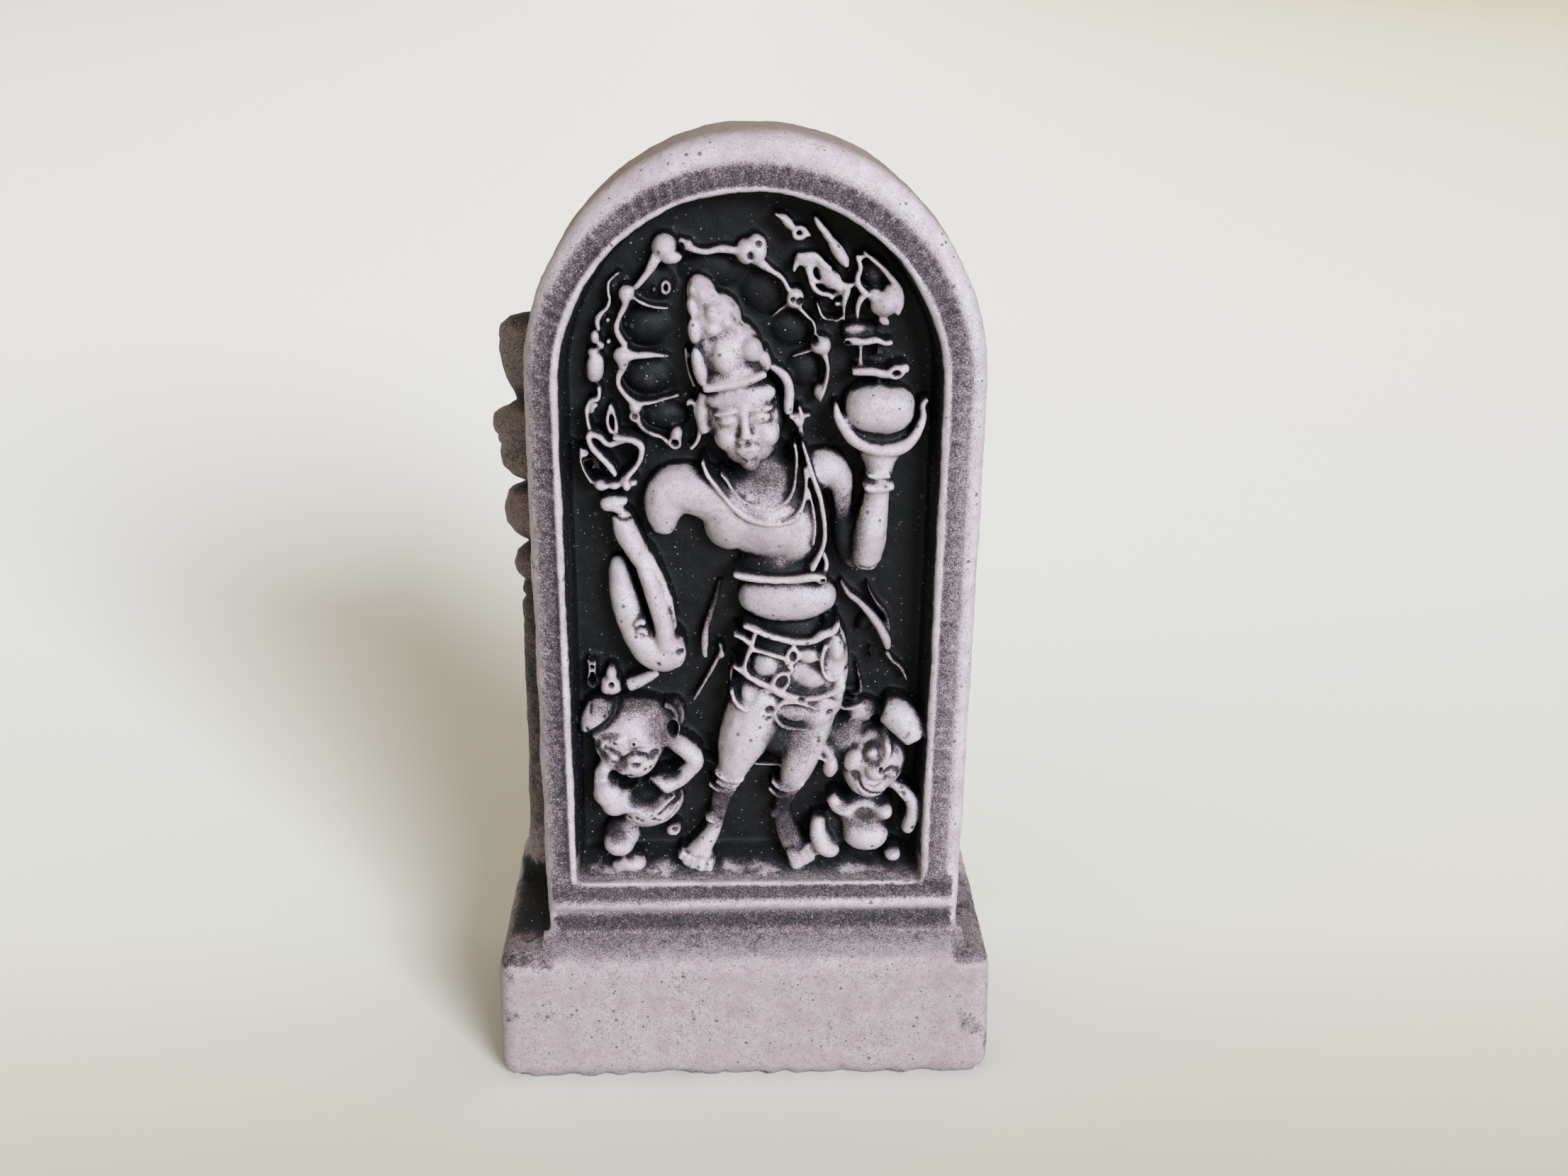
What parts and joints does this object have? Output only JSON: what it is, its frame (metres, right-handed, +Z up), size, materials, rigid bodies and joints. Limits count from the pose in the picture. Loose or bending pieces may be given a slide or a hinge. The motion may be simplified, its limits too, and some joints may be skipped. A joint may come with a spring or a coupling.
{
  "type": "guardstone souvenir",
  "caption": "Small cast-resin guardstone stele: figure with cobra hood and dwarf attendants in an arched niche, on a deep rectangular plinth with rear posts.",
  "frame": {"origin": "centre of the bounding box's bottom face, on the underside of the plinth", "axes": "+Z up, -Y the carved front, +X to the right seen from the front"},
  "size_m": [0.0526, 0.028, 0.0988],
  "materials": {
    "washed_resin": "matt to satin pale lavender cast stone resin with a blue-black antiquing wash left in the recesses"
  },
  "bodies": {
    "root": {"guardstone": "washed_resin"}
  },
  "joints": []
}
